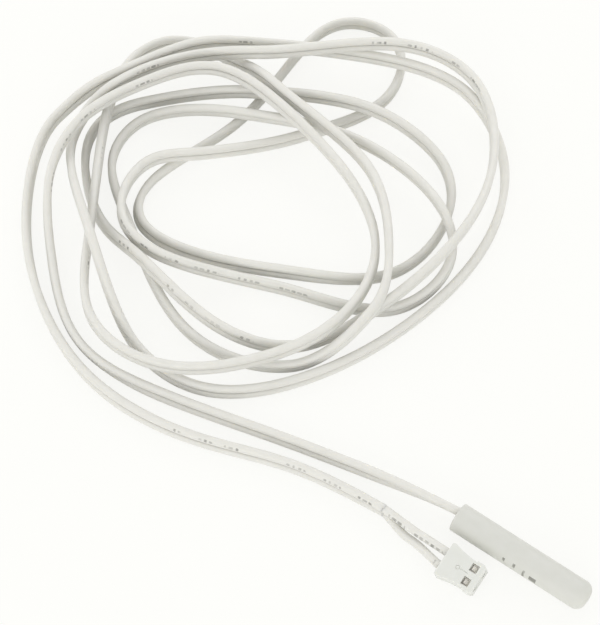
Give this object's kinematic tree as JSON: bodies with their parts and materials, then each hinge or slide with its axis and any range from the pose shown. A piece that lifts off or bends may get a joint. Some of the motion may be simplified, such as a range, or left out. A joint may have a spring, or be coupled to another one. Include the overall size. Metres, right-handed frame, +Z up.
{
  "type": "temperature probe",
  "caption": "NTC temperature probe: bead sensor potted in a closed round tube, on a long flat twin lead coiled in loose loops, with a two-way crimp connector.",
  "frame": {"origin": "on the surface that the probe tube lies on, under the middle of the tube", "axes": "+X along the tube from the lead's end to its closed tip, +Z up, +Y the side the coil lies on"},
  "size_m": [0.1267, 0.0878, 0.0104],
  "materials": {
    "cap_plastic": "off-white moulded plastic, satin",
    "potting": "pale casting resin",
    "bead_coating": "black epoxy coating",
    "tinned_wire": "tinned copper wire",
    "sleeve_plastic": "thin insulating sleeve",
    "splice_brass": "crimped ferrule",
    "cord_vinyl": "light grey vinyl insulation, slightly glossy",
    "housing_nylon": "natural nylon, slightly translucent",
    "contact_tin": "tinned stamped contact"
  },
  "bodies": {
    "root": {"probe_cap": "cap_plastic", "potting_resin": "potting", "thermistor_bead": "bead_coating", "thermistor_lead_upper": "tinned_wire", "thermistor_lead_lower": "tinned_wire", "lead_sleeve_upper": "sleeve_plastic", "lead_sleeve_lower": "sleeve_plastic", "splice_upper": "splice_brass", "splice_lower": "splice_brass", "inner_core_upper": "cord_vinyl", "inner_core_lower": "cord_vinyl", "inner_conductor_upper": "tinned_wire", "inner_conductor_lower": "tinned_wire", "twin_cord": "cord_vinyl", "split_core_left": "cord_vinyl", "split_core_right": "cord_vinyl", "connector_housing": "housing_nylon", "crimp_contact_left": "contact_tin", "crimp_contact_right": "contact_tin", "contact_strands_left": "tinned_wire", "contact_strands_right": "tinned_wire"}
  },
  "joints": []
}
